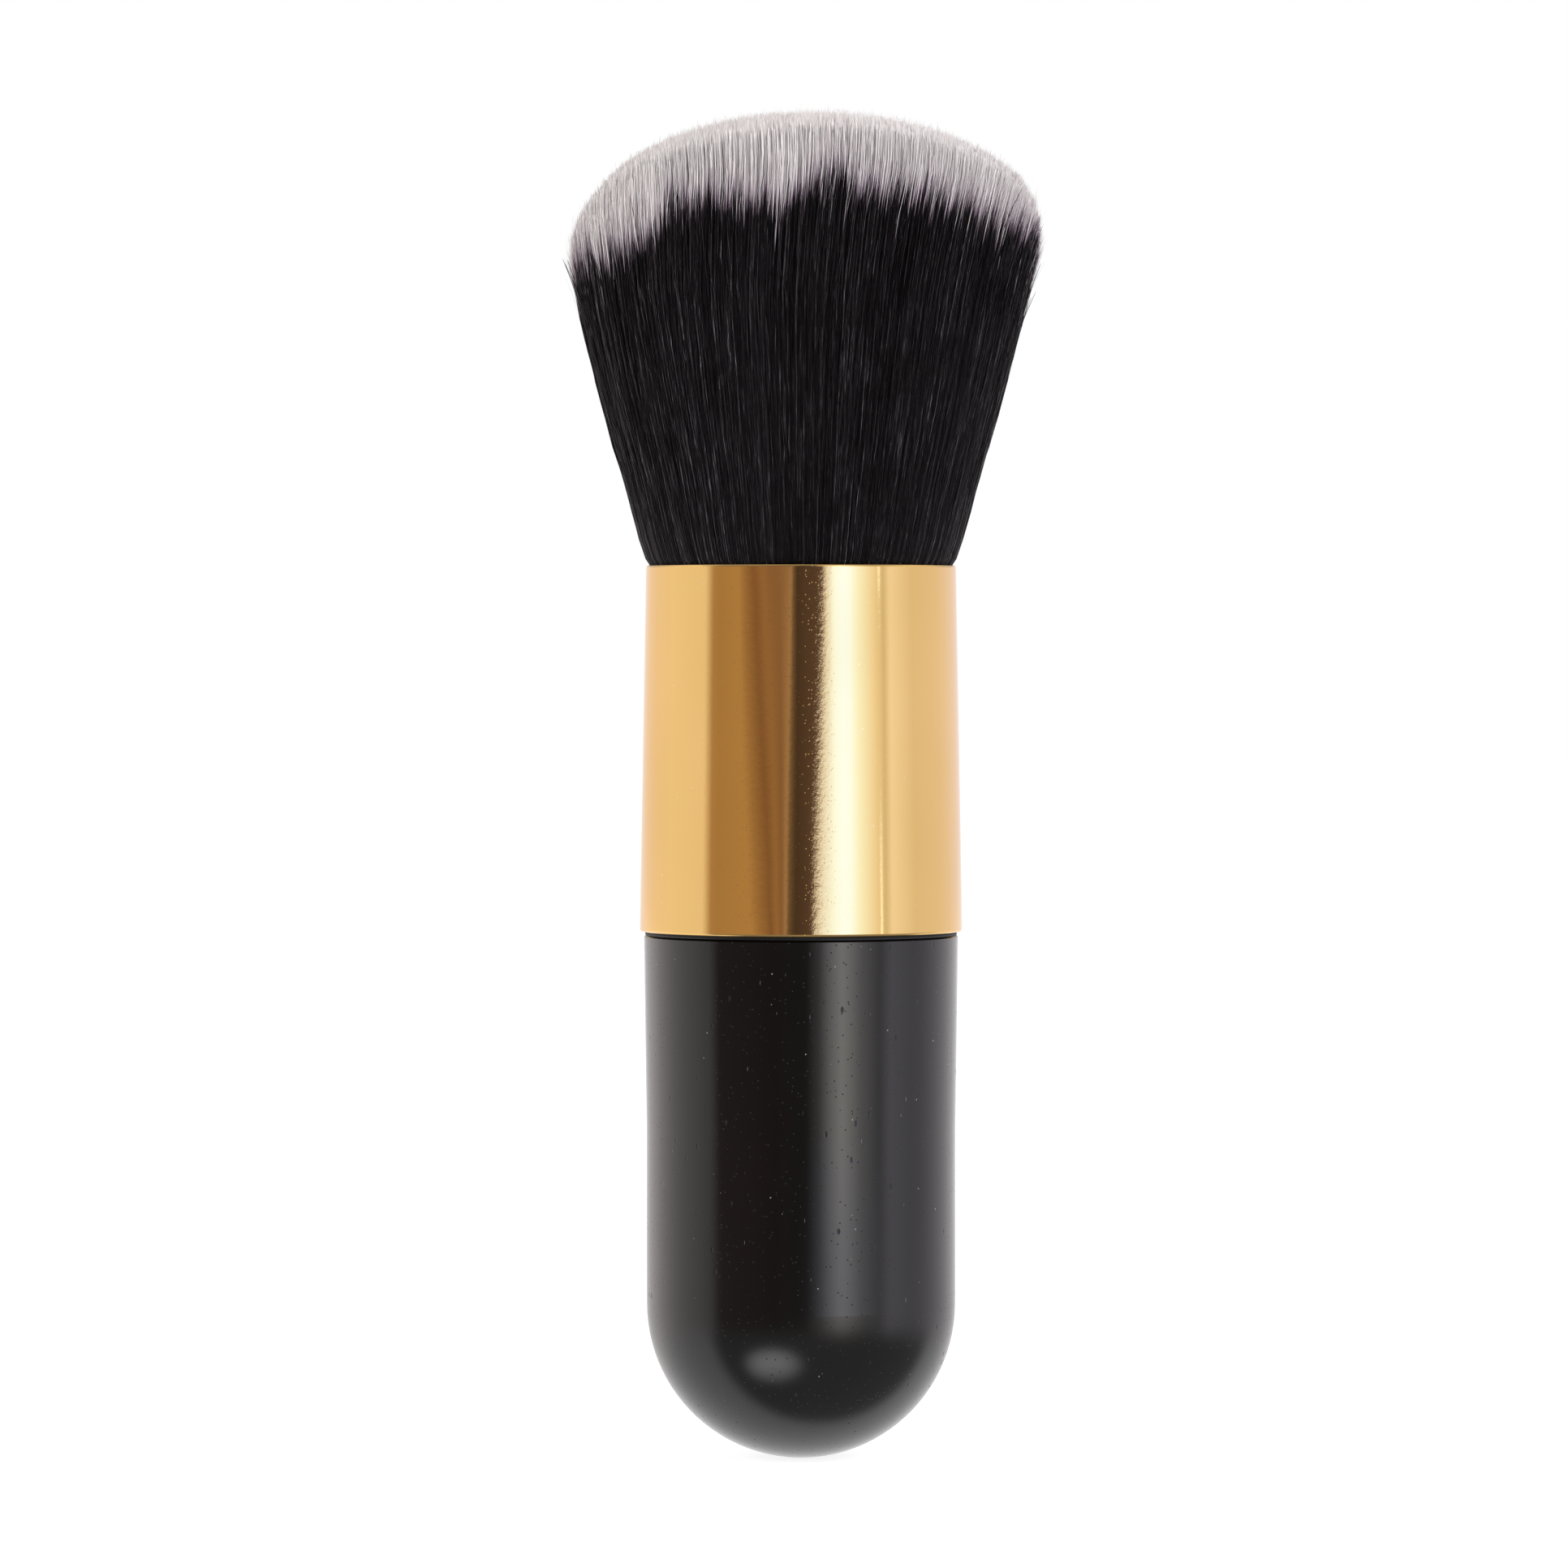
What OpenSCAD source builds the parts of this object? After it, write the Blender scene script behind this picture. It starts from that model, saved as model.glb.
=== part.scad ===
// Short makeup brush with a thick round-ended handle, a plated ferrule and a flared filament head.
// The brush stands along Z: the tip of its rounded end is the origin, and its bristles point up.
// The head is wider along X than along Y.

/* [Handle] */
// Radius of the straight grip and of the rounded end
grip_r = 14.35; // [11:0.05:18]
// Length of the straight grip above the rounded end
grip_len = 16; // [8:0.5:24]
// Growth of the radius by moulding draft, from the grip to the shoulder
draft_growth = 0.25; // [0.1:0.05:0.8]
// Height of the shoulder above the tip of the rounded end
shoulder_z = 48.7; // [42:0.1:70]
// Wall of the hollow handle
handle_wall = 2.4; // [1.8:0.1:3.2]
// Length of the spigot that the ferrule slides over
spigot_len = 13; // [10:0.5:16]

/* [Counterweight] */
// Radius of the steel slug in the handle
weight_r = 7.5; // [5:0.25:8]
// Length of the steel slug
weight_len = 14; // [8:0.5:24]
// Count of the ribs that centre the slug
rib_count = 4; // [3:1:8]

/* [Ferrule] */
// Length of the ferrule
ferrule_len = 34; // [30:0.5:50]
// Wall of the ferrule's tube
ferrule_wall = 0.45; // [0.3:0.05:0.8]
// Step from the handle's shoulder out to the ferrule's foot
ferrule_step = 0.4; // [0.2:0.05:0.6]
// Loss of radius from the ferrule's foot to its mouth
ferrule_taper = 0.6; // [0:0.05:1.2]

/* [Bristle head] */
// Height of the crown above the ferrule's mouth
head_len = 41.7; // [38:0.1:60]
// Height above the mouth at which the head is widest
widest_h = 28.5; // [26:0.5:31]
// Half of the head's width at that height, along X
half_width = 21.9; // [18:0.1:28]
// Half of the head's depth at that height, along Y
half_depth = 17.6; // [16:0.1:24]
// Sideways lean of the tips, towards +X
tip_lean = 1.0; // [0:0.05:1.2]

/* [Hidden] */
$fn = 96;

// Length by which a cutter passes the face that it cuts
overrun = 1;

// Handle
cavity_r = grip_r - handle_wall;
shoulder_r = grip_r + draft_growth;
shoulder_chamfer = 0.2;
spigot_chamfer = 0.8;
spigot_top_z = shoulder_z + spigot_len;
// Annular glue grooves round the spigot
groove_count = 2;
groove_w = 1.6;
groove_depth = 0.5;
groove_pitch = 4.5;
groove_first = 2.6;
// Radial gap between the spigot and the ferrule
bond_gap = 0.06;

// Counterweight, its seat on the round floor and the ribs beside it
seat_film = 0.4;
weight_chamfer = 0.5;
rib_w = 1.4;
rib_gap = 0.15;
rib_rise = 11;
squeeze_out = 1.5;
seat_z = grip_r - sqrt(cavity_r * cavity_r - weight_r * weight_r) + seat_film;

// Ferrule
rim_gap = 0.3;
foot_z = shoulder_z + rim_gap;
mouth_z = foot_z + ferrule_len;
foot_r = shoulder_r + ferrule_step;
mouth_r = foot_r - ferrule_taper;
rim_r = ferrule_wall / 2;
rim_steps = 8;

// Roots: the tied bundle, its binding and the resin that holds both in the ferrule
mouth_clearance = 0.08;
root_pinch = 0.9;
root_drop = 3;
root_len = 8;
root_r = bore_r(mouth_z) - mouth_clearance - root_pinch;
strand_z = mouth_z - root_drop;
root_z = strand_z - root_len;
resin_len = 4;
resin_collar = 3;
thread_r = 0.35;
thread_pitch = 0.62;
thread_turns = 4;
binding_lift = 0.4;

// Bristle head
neck_r = bore_r(mouth_z) - mouth_clearance;
// Share by which the flare is steeper at the mouth than on the whole
flare_share = 0.307;
lean_h = 35;
lean_power = 7;
// Height by which the outermost tips stay below the widest height
rim_drop = 1;
rim_h = widest_h - rim_drop;
crown_power = 0.45;
// Share by which the crown falls off along Y as it does along X
depth_share = 0.25;
// Rise of the crown's +X side
crown_tilt = 0.5;
grid_n = 14;
core_n = 10;
// Heights above the mouth at which the outer strands bend
outer_bends = [11, 22];
tip_len = 3.5;
tip_scatter = 0.4;
scatter_seed = 7;
// Width of a strand along its length and where its tip begins, as shares of its cell
shaft_share = 0.82;
tip_share = 0.7;

// Radius of the ferrule's inner wall at height z
function bore_r(z) = foot_r - ferrule_wall - ferrule_taper * (z - foot_z) / ferrule_len;

// Points of an arc about centre, from one angle to another
function arc(centre, r, from, to, steps) =
    [for (i = [0:steps]) let (a = from + (to - from) * i / steps) centre + r * [cos(a), sin(a)]];

// Solid of revolution about Z
module turned(points) {
    rotate_extrude()
        polygon(points);
}

// Outside of the handle: rounded end, straight grip, drafted body and spigot
module handle_outside() {
    grip_top_z = grip_r + grip_len;
    translate([0, 0, grip_r])
        sphere(grip_r);
    turned([
        [0, grip_r],
        [grip_r, grip_r],
        [grip_r, grip_top_z],
        [shoulder_r, shoulder_z - shoulder_chamfer],
        [shoulder_r - shoulder_chamfer, shoulder_z],
        [bore_r(foot_z) - bond_gap, shoulder_z],
        [bore_r(foot_z) - bond_gap, foot_z],
        [bore_r(spigot_top_z) - bond_gap, spigot_top_z - spigot_chamfer],
        [bore_r(spigot_top_z) - bond_gap - spigot_chamfer, spigot_top_z],
        [0, spigot_top_z]
    ]);
}

// Hollow of the handle, with its round floor
module handle_hollow() {
    translate([0, 0, grip_r])
        sphere(cavity_r);
    translate([0, 0, grip_r])
        cylinder(r = cavity_r, h = spigot_top_z - grip_r + overrun);
}

// Radial ribs that centre the counterweight
module weight_ribs() {
    inner_x = weight_r + rib_gap;
    for (i = [0:rib_count - 1])
        rotate([0, 0, i * 360 / rib_count])
            translate([inner_x, -rib_w / 2, 0])
                cube([grip_r - inner_x, rib_w, seat_z + rib_rise]);
}

// Height of the lower edge of a glue groove
function groove_z(i) = shoulder_z + groove_first + i * groove_pitch;

// Floor radius of a glue groove
function groove_floor_r(i) = bore_r(groove_z(i) + groove_w) - bond_gap - groove_depth;

// Moulded handle, open at its top and closed at its rounded end
module handle_shell() {
    color([0.03, 0.03, 0.035])
        difference() {
            handle_outside();
            difference() {
                handle_hollow();
                weight_ribs();
            }
            for (i = [0:groove_count - 1])
                translate([0, 0, groove_z(i)])
                    difference() {
                        cylinder(r = foot_r + overrun, h = groove_w);
                        translate([0, 0, -overrun])
                            cylinder(r = groove_floor_r(i), h = groove_w + 2 * overrun);
                    }
        }
}

// Steel slug with broken edges
module counterweight() {
    top_z = seat_z + weight_len;
    color([0.55, 0.56, 0.58])
        turned([
            [0, seat_z],
            [weight_r - weight_chamfer, seat_z],
            [weight_r, seat_z + weight_chamfer],
            [weight_r, top_z - weight_chamfer],
            [weight_r - weight_chamfer, top_z],
            [0, top_z]
        ]);
}

// Hot-melt pad that fills the round floor under the slug and rises a little round it
module weight_adhesive() {
    color([0.85, 0.8, 0.62])
        difference() {
            translate([0, 0, grip_r])
                sphere(cavity_r);
            translate([0, 0, seat_z + squeeze_out])
                cylinder(r = grip_r, h = 2 * grip_r);
            counterweight();
            weight_ribs();
        }
}

// Tapered tube with a rounded rim at each end
module ferrule() {
    foot_centre = [foot_r - rim_r, foot_z + rim_r];
    mouth_centre = [mouth_r - rim_r, mouth_z - rim_r];
    color([0.86, 0.64, 0.3])
        turned(concat(
            arc(mouth_centre, rim_r, 0, 180, rim_steps),
            arc(foot_centre, rim_r, 180, 360, rim_steps)
        ));
}

// Rings of glue in the spigot's grooves
module ferrule_adhesive() {
    color([0.9, 0.88, 0.78])
        for (i = [0:groove_count - 1]) {
            low_z = groove_z(i);
            high_z = low_z + groove_w;
            turned([
                [groove_floor_r(i), low_z],
                [bore_r(low_z), low_z],
                [bore_r(high_z), high_z],
                [groove_floor_r(i), high_z]
            ]);
        }
}

// Resin plug under the tied roots, with a collar between them and the ferrule
module root_bond() {
    low_z = root_z - resin_len;
    high_z = root_z + resin_collar;
    color([0.72, 0.6, 0.36])
        turned([
            [0, low_z],
            [bore_r(low_z), low_z],
            [bore_r(high_z), high_z],
            [root_r, high_z],
            [root_r, root_z],
            [0, root_z]
        ]);
}

// Turns of thread that tie the roots
module root_binding() {
    first_z = root_z + resin_collar + binding_lift + thread_r;
    color([0.88, 0.86, 0.8])
        rotate_extrude()
            for (i = [0:thread_turns - 1])
                translate([root_r + thread_r, first_z + i * thread_pitch])
                    circle(thread_r);
}

// Half size of the fan of filaments along one axis at height h above the mouth, where widest is at widest_h
function fan(h, widest) =
    let (rise = h / widest_h)
    h < 0 ? neck_r - root_pinch * -h / root_drop
    : neck_r + (widest - neck_r) * rise * (1 + flare_share * (1 - rise));

// Place of a filament of the unit disc at height h above the mouth
function filament(p, h) = [
    p.x * fan(h, half_width) + tip_lean * pow(min(max(h, 0), lean_h) / lean_h, lean_power),
    p.y * fan(h, half_depth),
    mouth_z + h
];

// Height of a filament's tip above the mouth, on the dome that cuts the fan off
function tip_height(p) =
    rim_h + (head_len - rim_h) * pow(max(0, 1 - p.x * p.x - depth_share * p.y * p.y), crown_power)
    + crown_tilt * p.x * p.x * p.x;

// Place in the unit disc of a point of the square grid
function disc(i, j) =
    let (a = 2 * i / grid_n - 1, b = 2 * j / grid_n - 1)
    abs(a) > abs(b) ? a * [cos(45 * b / a), sin(45 * b / a)]
    : b == 0 ? [0, 0]
    : b * [sin(45 * a / b), cos(45 * a / b)];

// The two halves of a grid cell, each three grid points, cut along the diagonal that points outwards
function halves(i, j) =
    (2 * i + 1 - grid_n) * (2 * j + 1 - grid_n) > 0
    ? [[[i, j], [i + 1, j], [i + 1, j + 1]], [[i, j], [i + 1, j + 1], [i, j + 1]]]
    : [[[i, j], [i + 1, j], [i, j + 1]], [[i + 1, j], [i + 1, j + 1], [i, j + 1]]];

// Grid points round a square that lies inset cells inside the grid's edge
function square_loop(inset) =
    let (last = grid_n - inset)
    [
        for (t = [inset:last - 1]) [t, inset],
        for (t = [inset:last - 1]) [last, t],
        for (t = [inset:last - 1]) [grid_n - t, last],
        for (t = [inset:last - 1]) [inset, grid_n - t]
    ];

// Bristles over the cells between two concentric squares of the grid, fused to a slice of the roots.
// A strand has three sides, and its corners keep their places in the disc from root to tip.
module bristles(inner_n, outer_n, bends) {
    row = grid_n + 1;
    rings = len(bends) + 2;
    width_shares = [for (m = [1:rings]) m < rings ? shaft_share : tip_share];
    grid = [for (i = [0:grid_n], j = [0:grid_n]) disc(i, j)];
    cells = [
        for (i = [0:grid_n - 1], j = [0:grid_n - 1])
            let (k = max(abs(2 * i + 1 - grid_n), abs(2 * j + 1 - grid_n)))
            if (k > inner_n && k < outer_n)
                for (half = halves(i, j)) [for (g = half) g.x * row + g.y]
    ];
    scatter = rands(-tip_scatter, tip_scatter, len(cells), scatter_seed);
    strand_points = [
        for (s = [0:len(cells) - 1])
            let (
                corners = [for (g = cells[s]) grid[g]],
                middle = (corners[0] + corners[1] + corners[2]) / 3,
                tip_h = tip_height(middle) + scatter[s],
                heights = concat([-root_drop], bends, [tip_h - tip_len])
            )
            each concat(
                [
                    for (m = [0:rings - 1], c = corners)
                        filament(middle + (c - middle) * width_shares[m], heights[m])
                ],
                [filament(middle, tip_h)]
            )
    ];
    top = [for (p = grid) [p.x * root_r, p.y * root_r, strand_z]];
    bottom = [for (p = grid) [p.x * root_r, p.y * root_r, root_z]];
    strands_at = 2 * len(grid);
    strand_size = 3 * rings + 1;
    rims = [
        square_loop((grid_n - outer_n) / 2),
        if (inner_n > 0) let (hole = square_loop((grid_n - inner_n) / 2)) [for (p = hole) [p.y, p.x]]
    ];
    faces = [
        for (s = [0:len(cells) - 1], k = [0:2])
            let (
                g = cells[s],
                n = (k + 1) % 3,
                first = strands_at + s * strand_size,
                last = first + 3 * (rings - 1)
            )
            each concat(
                [[g[k], g[n], first + n], [g[k], first + n, first + k]],
                [
                    for (m = [0:rings - 2])
                        let (low = first + 3 * m)
                        each [[low + k, low + n, low + 3 + n], [low + k, low + 3 + n, low + 3 + k]]
                ],
                [[last + k, last + n, first + strand_size - 1]]
            ),
        for (g = cells) [g[0] + len(grid), g[2] + len(grid), g[1] + len(grid)],
        for (rim = rims, i = [0:len(rim) - 1])
            let (
                a = rim[i].x * row + rim[i].y,
                next = rim[(i + 1) % len(rim)],
                b = next.x * row + next.y
            )
            each [[a + len(grid), b + len(grid), b], [a + len(grid), b, a]]
    ];
    polyhedron(concat(top, bottom, strand_points), [for (f = faces) [f[2], f[1], f[0]]]);
}

// Outer filaments, whose sides show
module outer_bristles() {
    color([0.06, 0.055, 0.065])
        bristles(core_n, grid_n, outer_bends);
}

// Inner filaments, whose pale ends make the crown
module core_bristles() {
    color([0.82, 0.79, 0.8])
        bristles(0, core_n, []);
}

handle_shell();
counterweight();
weight_adhesive();
ferrule();
ferrule_adhesive();
root_bond();
root_binding();
outer_bristles();
core_bristles();
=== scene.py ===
"""A short makeup brush: black barrel handle, gold ferrule and a flared head of fine filaments."""
import math
from dataclasses import dataclass

import bpy
import numpy as np
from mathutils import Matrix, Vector


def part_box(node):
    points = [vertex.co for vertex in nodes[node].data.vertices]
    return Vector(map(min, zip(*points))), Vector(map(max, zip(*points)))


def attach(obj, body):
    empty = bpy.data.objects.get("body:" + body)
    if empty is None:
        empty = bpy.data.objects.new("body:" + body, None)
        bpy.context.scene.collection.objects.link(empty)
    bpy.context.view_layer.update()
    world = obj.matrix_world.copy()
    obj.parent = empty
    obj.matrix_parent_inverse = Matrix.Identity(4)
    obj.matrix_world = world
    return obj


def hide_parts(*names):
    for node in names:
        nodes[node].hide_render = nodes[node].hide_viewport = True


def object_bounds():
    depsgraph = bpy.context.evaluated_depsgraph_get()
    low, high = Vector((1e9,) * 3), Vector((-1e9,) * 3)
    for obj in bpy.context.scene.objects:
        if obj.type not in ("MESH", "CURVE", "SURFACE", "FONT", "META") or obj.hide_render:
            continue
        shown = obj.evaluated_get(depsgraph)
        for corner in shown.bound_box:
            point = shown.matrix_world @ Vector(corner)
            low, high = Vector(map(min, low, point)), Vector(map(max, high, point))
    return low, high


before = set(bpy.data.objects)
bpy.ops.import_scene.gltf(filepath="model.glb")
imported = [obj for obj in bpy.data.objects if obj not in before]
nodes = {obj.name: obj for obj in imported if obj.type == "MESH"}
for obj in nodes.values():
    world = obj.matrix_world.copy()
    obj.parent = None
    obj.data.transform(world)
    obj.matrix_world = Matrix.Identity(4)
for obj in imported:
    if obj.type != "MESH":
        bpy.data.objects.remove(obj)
cad_low, cad_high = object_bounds()

MM = 0.001
SEED = 20

# The photograph is square. The brush stands in it between two pixel rows, with its axis on one
# column, and the camera is level with the row where rims look flat.
PHOTO_SIDE_PX = 1932
PHOTO_CROWN_ROW_PX = 140
PHOTO_FOOT_ROW_PX = 1796.5
PHOTO_AXIS_COLUMN_PX = 987
PHOTO_LEVEL_ROW_PX = 787
PIXEL = (cad_high.z - cad_low.z) / (PHOTO_FOOT_ROW_PX - PHOTO_CROWN_ROW_PX)
CAMERA_DISTANCE = 700 * MM
CAMERA_CLIP = (0.01, 20)
EYE_Z = (PHOTO_FOOT_ROW_PX - PHOTO_LEVEL_ROW_PX) * PIXEL
SENSOR_WIDTH_MM = 36

# The ferrule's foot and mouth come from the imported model. The head grows out of the mouth.
ferrule_low, ferrule_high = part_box("ferrule")
FERRULE_FOOT_Z = ferrule_low.z
MOUTH_Z = ferrule_high.z / MM

# Outline of the head, in millimetres above the mouth and from the axis. The fan reaches its half
# width and half depth at FLARE_H. The roots narrow a little inside the mouth, and just above it
# the fan bulges slightly.
HEAD_LEN = 41.6
RIM_LEN = 27.3
FLARE_H = 28.5
FLARE_EASE = 0.307
HALF_WIDTH = 21.55
HALF_DEPTH = 17.4
NECK_R = 13.87
ROOT_DROP = 3.0
ROOT_PINCH = 0.9
LIP_BULGE = 0.34
LIP_RISE = (-0.3, 0.7)
LIP_FALL = (1.5, 8.0)
# The dome that cuts the filaments off: its form, by how much its right edge is raised and its left
# edge lowered, and its fall from front to back as a share of that from side to side
CROWN_POWER = 0.45
CROWN_TILT = 0.3
DEPTH_SHARE = 0.25
# How far the tips lean to the right, most of it near their ends
TIP_LEAN = 1.0
LEAN_FULL_H = 35.0
LEAN_POWER = 7

# Dye line between black and pale as the photograph shows it: millimetres right of the axis and
# above the foot. DYE_FRONT is where it takes over from the nearly even line behind, in half depths
# of the head in front of the axis.
DYE_LINE = (
    (-21.5, 111.2), (-17, 112.3), (-13.4, 114.1), (-12.0, 116.9), (-8, 117.5),
    (-5, 117.2), (-1.5, 116.8), (0.2, 118.1), (3, 119.6), (5.8, 118.0),
    (8.2, 118.3), (12, 117.5), (17.5, 115.2), (20.5, 114.3), (22.2, 112.8),
)
DYE_FRONT = (-0.15, 0.25)
PALE_LEN = 5.2
# How much the length of the pale ends varies, in millimetres: in waves behind, from lock to lock,
# from tuft to tuft and from filament to filament. Some filaments are pale for longer.
DYE_WAVE = 0.4
DYE_LOCK = 0.25
DYE_TUFT = 0.65
DYE_SPREAD = 0.7
LONGER_SHARE = 0.18
LONGER_MEAN = 1.0
LONGER_MOST = 3.5
# The same for strays, dark or pale
DARK_STRAY_PALE_LEN = -10.0
PALE_STRAY_MORE = 1.0
PALE_STRAY_MEAN = 2.2
PALE_STRAY_MOST = 7

# How filaments lie, in millimetres: sway, clumps and waves of length that neighbours share, the
# heights over which wandering, bending and crimping set in, and the length of a crimp
SWAY = 0.08
CLUMP = 0.03
LENGTH_WAVE = 0.08
WANDER_SPAN = (0, 38)
BEND_SPAN = (18, 40)
CRIMP_SPAN = (1, 8)
CRIMP_WAVE = (7, 14)
# A splayed end: its length, how late it turns outwards, and the most that it does, in mean splays
SPLAY_LEN = 4.5
SPLAY_POWER = 1.5
SPLAY_MOST = 4
# The front and back edges of the crown are the least even: by how much, and over what shares of
# the outline
EDGE_RAGGED = 1.6
EDGE_SPAN = (0.88, 1.0)
# Each filament stands about a golden angle further round the head than the one before it.
GOLDEN_ANGLE = np.pi * (3 - np.sqrt(5))
ANGLE_SPREAD = 0.02

# Form of a filament: its sides, spread of its turn and thickness, taper and the stretch below the
# tip that has it, and the least gap between its last level ring and the first below the tip
RING_SIDES = 3
TURN_SPREAD = 0.25
WIDTH_SPREAD = (0.85, 1.15)
TAPER = 0.45
TAPER_SPAN = (3.0, 0.0)
RING_GAP = 0.2
# Its strip in the bake's square: height over width, and places of its corners, rings and tip
STRIP_ASPECT = 16
STRIP_CORNERS = (0.2, 0.5, 0.8)
STRIP_RINGS = (0.04, 0.9)
STRIP_TIP = (0.5, 0.96)

# The solid body under the filaments: points around it and its share of the head's outline
MASS_AROUND = 160
MASS_SHARE = 0.974
# Its depth below the tips at the sides and under the crown, and the shares of the outline over
# which one gives way to the other
MASS_SINK = 1.0
CROWN_SINK = 0.8
CROWN_SINK_SPAN = (0.8, 1.0)
# Its rings: heights in the mouth, shares of the height of the sides, and shares of the outline
# over the crown
MASS_LOW_RINGS = (-9.0, -ROOT_DROP, -0.4)
MASS_SIDE_RINGS = (
    0.02, 0.07, 0.15, 0.25, 0.35, 0.45, 0.55, 0.64, 0.72, 0.78, 0.83, 0.87, 0.91, 0.95, 0.98, 1,
)
MASS_CROWN_RINGS = (
    0.998, 0.992, 0.98, 0.96, 0.93, 0.89, 0.84, 0.78, 0.70, 0.60, 0.48, 0.34, 0.18,
)
# Its tone, and how far its foot is below the dye line
MASS_TONE = 0.1
MASS_FOOT_DYE = 40.0


@dataclass
class Layer:
    """Filaments that stand between two shares of the head's outline, dealt out to some pieces.

    levels are heights of rings above the mouth, and tip_levels are rings below the tip. loose is
    how far a filament wanders, drift how far its end bends away, crimp the height of its crimps,
    and splay how far most ends stand out of the outline. tip_scatter is by how much most filaments
    fall short, and tip_spread is how uneven their lengths are. All are in millimetres. kind says
    how a filament is dyed: dyed as most are, dark or pale."""
    name: str
    count: int
    pieces: int
    inner: float
    outer: float
    levels: tuple
    tip_levels: tuple
    radius: float
    loose: float = 0.08
    drift: float = 0.0
    crimp: float = 0.045
    splay: float = 0.0
    tip_scatter: float = 0.1
    tip_spread: float = 0.3
    kind: str = "dyed"


LONG_LEVELS = (-ROOT_DROP, -0.4, 0.6, 2.4, 5, 8, 11, 14, 17, 20, 22.5, 25)
STRAY_TIP_LEVELS = (6.0, 4.0, 2.0, 0.35)
LAYERS = (
    Layer("side_filaments", count=15500, pieces=8, inner=0.979, outer=1.0,
          levels=LONG_LEVELS, tip_levels=(2.6, 0.35), radius=0.042,
          loose=0.06, drift=0.14, tip_scatter=0.4),
    Layer("crown_filaments", count=126000, pieces=7, inner=0.0, outer=0.985,
          levels=(), tip_levels=(3.0, 0.5), radius=0.046,
          loose=0.08, drift=0.16, tip_scatter=0.35),
    Layer("fringe_filaments", count=2400, pieces=2, inner=0.985, outer=1.0,
          levels=LONG_LEVELS, tip_levels=(5.0, 2.2, 0.35), radius=0.029,
          loose=0.12, drift=0.35, crimp=0.1, tip_scatter=2.8),
    Layer("tip_fuzz", count=5000, pieces=1, inner=0.985, outer=1.0,
          levels=(), tip_levels=(4.5, 2.8, 1.2, 0.3), radius=0.012,
          loose=0.05, drift=0.2, splay=0.2, tip_scatter=0.5, tip_spread=0.5),
    Layer("dark_strays", count=60, pieces=1, inner=0.998, outer=1.003,
          levels=LONG_LEVELS, tip_levels=STRAY_TIP_LEVELS, radius=0.044,
          loose=0.06, drift=0.5, crimp=0.08, splay=0.35, tip_scatter=1.0, kind="dark"),
    Layer("pale_strays", count=160, pieces=1, inner=0.988, outer=1.001,
          levels=LONG_LEVELS, tip_levels=STRAY_TIP_LEVELS, radius=0.018,
          loose=0.2, drift=0.25, crimp=0.12, tip_scatter=0.5, kind="pale"),
)

# Noise seldom leaves this span.
NOISE_SPAN = (0.3, 0.7)
# Upright strip of the ferrule that fingers have rubbed: its middle, and how far out it fades
RUBBED_X = 1.6 * MM
RUBBED_SPAN = (2.2 * MM, 0.6 * MM)
# Heights on the handle over which dirt dulls it under the ferrule, and wear its lower half
DIRT_SPAN = (FERRULE_FOOT_Z - 0.5 * MM, FERRULE_FOOT_Z - 0.1 * MM)
WEAR_SPAN = (36 * MM, 16 * MM)
# Stretch that makes a speck a short hairline scratch, or a long ding
SCRATCH = (5, 5, 0.7)
LONG_DING = (1, 1, 0.5)
# Millimetres below the dye line, less than nothing above it, over which the pale end dulls, the
# lilac fringe sets in and black takes over
FADE_SPAN = (-5.5, -0.8)
LILAC_SPAN = (-1.5, 0.1)
BLACK_SPAN = (-0.8, 0.9)


def put(tree, socket, value):
    """Links a socket to another, or sets its value. A colour is three numbers."""
    if isinstance(value, bpy.types.NodeSocket):
        tree.links.new(value, socket)
    elif socket.type == "RGBA":
        socket.default_value = (*value, 1)
    else:
        socket.default_value = value


def add_node(tree, kind, inputs=None, **settings):
    """A new shader node with its settings and inputs."""
    made = tree.nodes.new(kind)
    for key, value in settings.items():
        setattr(made, key, value)
    for key, value in (inputs or {}).items():
        put(tree, made.inputs[key], value)
    return made


def calc(tree, operation, *values):
    """A math node's result."""
    inputs = dict(enumerate(values))
    return add_node(tree, "ShaderNodeMath", inputs, operation=operation).outputs[0]


def dot(tree, vector, constant):
    """Length of a vector along a constant one."""
    inputs = {0: vector, 1: constant}
    made = add_node(tree, "ShaderNodeVectorMath", inputs, operation="DOT_PRODUCT")
    return made.outputs["Value"]


def ramp(tree, factor, stops):
    """A colour ramp over stops of (place, colour)."""
    made = add_node(tree, "ShaderNodeValToRGB", {"Fac": factor})
    elements = made.color_ramp.elements
    while len(elements) > 1:
        elements.remove(elements[-1])
    for i, (place, colour) in enumerate(stops):
        element = elements[0] if i == 0 else elements.new(place)
        element.position = place
        element.color = (*colour, 1)
    return made.outputs["Color"]


def grey(value):
    """A neutral colour."""
    return (value, value, value)


def remap(tree, value, span, to=(0.0, 1.0)):
    """A value carried smoothly from one span to another. A span may run downwards."""
    inputs = dict(enumerate((value, *span, *to)))
    made = add_node(tree, "ShaderNodeMapRange", inputs, interpolation_type="SMOOTHSTEP")
    return made.outputs[0]


def mix_colour(tree, factor, a, b, blend="MIX"):
    """Two colours mixed."""
    made = add_node(tree, "ShaderNodeMix", data_type="RGBA", blend_type=blend)
    for index, value in ((0, factor), (6, a), (7, b)):
        put(tree, made.inputs[index], value)
    return made.outputs[2]


def object_space(tree, **changes):
    """The object's own coordinates in metres, after a turn or a stretch."""
    place = add_node(tree, "ShaderNodeTexCoord").outputs["Object"]
    return add_node(tree, "ShaderNodeMapping", {"Vector": place, **changes}).outputs[0]


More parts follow.
